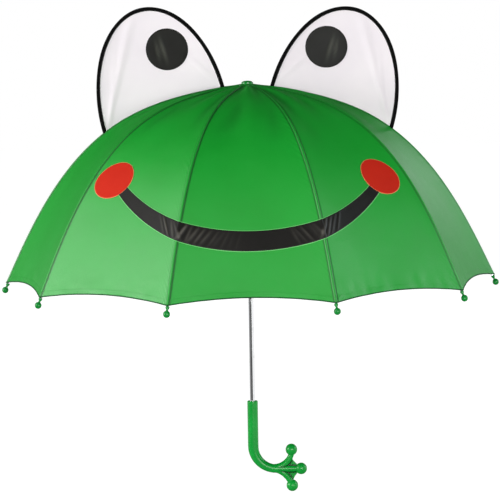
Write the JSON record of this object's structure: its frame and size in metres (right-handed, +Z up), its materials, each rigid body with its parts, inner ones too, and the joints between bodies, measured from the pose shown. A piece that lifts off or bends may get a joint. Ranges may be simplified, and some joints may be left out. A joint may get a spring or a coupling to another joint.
{
  "type": "children's umbrella",
  "caption": "Open straight stick umbrella for a child, with a domed cloth canopy that has an animal face and raised eyes, and a hooked handle with round toes.",
  "frame": {"origin": "middle of the straight grip, on the shaft's axis", "axes": "+Z up along the shaft, -Y the side with the face, +X the side that the handle's hook points to"},
  "size_m": [0.7182, 0.6834, 0.704],
  "materials": {
    "canopy_satin": "satin",
    "strap_webbing": "woven",
    "eye_cloth": "satin",
    "pupil_cloth": "satin",
    "piping_cloth": "satin",
    "mouth_cloth": "satin",
    "cheek_cloth": "matte",
    "frame_steel": "plated",
    "shaft_chrome": "polished",
    "handle_plastic": "gloss",
    "tip_plastic": "gloss",
    "runner_plastic": "gloss",
    "wire_steel": "drawn",
    "spring_steel": "tempered"
  },
  "bodies": {
    "stick": {"shaft": "shaft_chrome", "handle": "handle_plastic", "top_notch": "frame_steel", "notch_wire": "wire_steel", "top_cap": "tip_plastic"},
    "rib_01": {"rib_01": "frame_steel", "tip_01": "tip_plastic", "canopy_01": "canopy_satin", "mouth_right": "mouth_cloth"},
    "rib_02": {"rib_02": "frame_steel", "tip_02": "tip_plastic", "canopy_02": "canopy_satin", "cheek_right": "cheek_cloth"},
    "rib_03": {"rib_03": "frame_steel", "tip_03": "tip_plastic", "canopy_03": "canopy_satin", "eye_right": "eye_cloth", "eye_piping_right": "piping_cloth", "pupil_right": "pupil_cloth"},
    "rib_04": {"rib_04": "frame_steel", "tip_04": "tip_plastic", "canopy_04": "canopy_satin"},
    "rib_05": {"rib_05": "frame_steel", "tip_05": "tip_plastic", "canopy_05": "canopy_satin", "tie_strap": "strap_webbing"},
    "rib_06": {"rib_06": "frame_steel", "tip_06": "tip_plastic", "canopy_06": "canopy_satin"},
    "rib_07": {"rib_07": "frame_steel", "tip_07": "tip_plastic", "canopy_07": "canopy_satin"},
    "rib_08": {"rib_08": "frame_steel", "tip_08": "tip_plastic", "canopy_08": "canopy_satin", "eye_left": "eye_cloth", "eye_piping_left": "piping_cloth", "pupil_left": "pupil_cloth"},
    "rib_09": {"rib_09": "frame_steel", "tip_09": "tip_plastic", "canopy_09": "canopy_satin", "cheek_left": "cheek_cloth"},
    "rib_10": {"rib_10": "frame_steel", "tip_10": "tip_plastic", "canopy_10": "canopy_satin", "mouth_left": "mouth_cloth"},
    "stretcher_01": {"stretcher_01": "frame_steel"},
    "stretcher_02": {"stretcher_02": "frame_steel"},
    "stretcher_03": {"stretcher_03": "frame_steel"},
    "stretcher_04": {"stretcher_04": "frame_steel"},
    "stretcher_05": {"stretcher_05": "frame_steel"},
    "stretcher_06": {"stretcher_06": "frame_steel"},
    "stretcher_07": {"stretcher_07": "frame_steel"},
    "stretcher_08": {"stretcher_08": "frame_steel"},
    "stretcher_09": {"stretcher_09": "frame_steel"},
    "stretcher_10": {"stretcher_10": "frame_steel"},
    "runner": {"runner": "runner_plastic", "runner_wire": "wire_steel"},
    "top_spring": {"top_spring": "spring_steel"},
    "bottom_spring": {"bottom_spring": "spring_steel"}
  },
  "joints": [
    {"name": "canopy_fold", "type": "hinge", "parent": "stick", "child": "rib_01", "pos_m": [0.00247, -0.00761, 0.4875], "axis": [0.9511, 0.309, 0], "range_deg": [0, 49.17], "deforming": ["canopy_01", "canopy_02", "canopy_03", "canopy_04", "canopy_05", "canopy_06", "canopy_07", "canopy_08", "canopy_09", "canopy_10", "mouth_right", "mouth_left", "cheek_right", "cheek_left"]},
    {"name": "rib_02_fold", "type": "hinge", "parent": "stick", "child": "rib_02", "pos_m": [0.00647, -0.0047, 0.4875], "axis": [0.5878, 0.809, 0], "range_deg": [0, 49.17]},
    {"name": "rib_03_fold", "type": "hinge", "parent": "stick", "child": "rib_03", "pos_m": [0.008, 0, 0.4875], "axis": [0, 1, 0], "range_deg": [0, 49.17]},
    {"name": "rib_04_fold", "type": "hinge", "parent": "stick", "child": "rib_04", "pos_m": [0.00647, 0.0047, 0.4875], "axis": [-0.5878, 0.809, 0], "range_deg": [0, 49.17]},
    {"name": "rib_05_fold", "type": "hinge", "parent": "stick", "child": "rib_05", "pos_m": [0.00247, 0.00761, 0.4875], "axis": [-0.9511, 0.309, 0], "range_deg": [0, 49.17]},
    {"name": "rib_06_fold", "type": "hinge", "parent": "stick", "child": "rib_06", "pos_m": [-0.00247, 0.00761, 0.4875], "axis": [-0.9511, -0.309, 0], "range_deg": [0, 49.17]},
    {"name": "rib_07_fold", "type": "hinge", "parent": "stick", "child": "rib_07", "pos_m": [-0.00647, 0.0047, 0.4875], "axis": [-0.5878, -0.809, 0], "range_deg": [0, 49.17]},
    {"name": "rib_08_fold", "type": "hinge", "parent": "stick", "child": "rib_08", "pos_m": [-0.008, 0, 0.4875], "axis": [0, -1, 0], "range_deg": [0, 49.17]},
    {"name": "rib_09_fold", "type": "hinge", "parent": "stick", "child": "rib_09", "pos_m": [-0.00647, -0.0047, 0.4875], "axis": [0.5878, -0.809, 0], "range_deg": [0, 49.17]},
    {"name": "rib_10_fold", "type": "hinge", "parent": "stick", "child": "rib_10", "pos_m": [-0.00247, -0.00761, 0.4875], "axis": [0.9511, -0.309, 0], "range_deg": [0, 49.17]},
    {"name": "stretcher_01_fold", "type": "hinge", "parent": "rib_01", "child": "stretcher_01", "pos_m": [0.06339, -0.19509, 0.4167], "axis": [0.9511, 0.309, 0], "range_deg": [-90.06, 0]},
    {"name": "stretcher_02_fold", "type": "hinge", "parent": "rib_02", "child": "stretcher_02", "pos_m": [0.16596, -0.12057, 0.4167], "axis": [0.5878, 0.809, 0], "range_deg": [-90.06, 0]},
    {"name": "stretcher_03_fold", "type": "hinge", "parent": "rib_03", "child": "stretcher_03", "pos_m": [0.20513, 0, 0.4167], "axis": [0, 1, 0], "range_deg": [-90.06, 0]},
    {"name": "stretcher_04_fold", "type": "hinge", "parent": "rib_04", "child": "stretcher_04", "pos_m": [0.16596, 0.12057, 0.4167], "axis": [-0.5878, 0.809, 0], "range_deg": [-90.06, 0]},
    {"name": "stretcher_05_fold", "type": "hinge", "parent": "rib_05", "child": "stretcher_05", "pos_m": [0.06339, 0.19509, 0.4167], "axis": [-0.9511, 0.309, 0], "range_deg": [-90.06, 0]},
    {"name": "stretcher_06_fold", "type": "hinge", "parent": "rib_06", "child": "stretcher_06", "pos_m": [-0.06339, 0.19509, 0.4167], "axis": [-0.9511, -0.309, 0], "range_deg": [-90.06, 0]},
    {"name": "stretcher_07_fold", "type": "hinge", "parent": "rib_07", "child": "stretcher_07", "pos_m": [-0.16596, 0.12057, 0.4167], "axis": [-0.5878, -0.809, 0], "range_deg": [-90.06, 0]},
    {"name": "stretcher_08_fold", "type": "hinge", "parent": "rib_08", "child": "stretcher_08", "pos_m": [-0.20513, 0, 0.4167], "axis": [0, -1, 0], "range_deg": [-90.06, 0]},
    {"name": "stretcher_09_fold", "type": "hinge", "parent": "rib_09", "child": "stretcher_09", "pos_m": [-0.16596, -0.12057, 0.4167], "axis": [0.5878, -0.809, 0], "range_deg": [-90.06, 0]},
    {"name": "stretcher_10_fold", "type": "hinge", "parent": "rib_10", "child": "stretcher_10", "pos_m": [-0.06339, -0.19509, 0.4167], "axis": [0.9511, -0.309, 0], "range_deg": [-90.06, 0]},
    {"name": "runner_slide", "type": "slide", "parent": "stick", "child": "runner", "axis": [0, 0, -1], "range_m": [0, 0.22397]},
    {"name": "top_spring_press", "type": "hinge", "parent": "stick", "child": "top_spring", "pos_m": [0, 0.0016, 0.23846], "axis": [1, 0, 0], "range_deg": [0, 5], "stiffness_Nm_per_rad": 0.02},
    {"name": "bottom_spring_press", "type": "hinge", "parent": "stick", "child": "bottom_spring", "pos_m": [0, 0.0016, 0.1095], "axis": [-1, 0, 0], "range_deg": [0, 5], "stiffness_Nm_per_rad": 0.02}
  ],
  "couplings": [
    {"joint": "rib_02_fold", "follows": "canopy_fold", "ratio": 1},
    {"joint": "rib_03_fold", "follows": "canopy_fold", "ratio": 1},
    {"joint": "rib_04_fold", "follows": "canopy_fold", "ratio": 1},
    {"joint": "rib_05_fold", "follows": "canopy_fold", "ratio": 1},
    {"joint": "rib_06_fold", "follows": "canopy_fold", "ratio": 1},
    {"joint": "rib_07_fold", "follows": "canopy_fold", "ratio": 1},
    {"joint": "rib_08_fold", "follows": "canopy_fold", "ratio": 1},
    {"joint": "rib_09_fold", "follows": "canopy_fold", "ratio": 1},
    {"joint": "rib_10_fold", "follows": "canopy_fold", "ratio": 1},
    {"joint": "stretcher_01_fold", "follows": "canopy_fold", "ratio": -1.8315},
    {"joint": "stretcher_02_fold", "follows": "canopy_fold", "ratio": -1.8315},
    {"joint": "stretcher_03_fold", "follows": "canopy_fold", "ratio": -1.8315},
    {"joint": "stretcher_04_fold", "follows": "canopy_fold", "ratio": -1.8315},
    {"joint": "stretcher_05_fold", "follows": "canopy_fold", "ratio": -1.8315},
    {"joint": "stretcher_06_fold", "follows": "canopy_fold", "ratio": -1.8315},
    {"joint": "stretcher_07_fold", "follows": "canopy_fold", "ratio": -1.8315},
    {"joint": "stretcher_08_fold", "follows": "canopy_fold", "ratio": -1.8315},
    {"joint": "stretcher_09_fold", "follows": "canopy_fold", "ratio": -1.8315},
    {"joint": "stretcher_10_fold", "follows": "canopy_fold", "ratio": -1.8315},
    {"joint": "runner_slide", "follows": "canopy_fold", "m_per_rad": 0.26099}
  ]
}
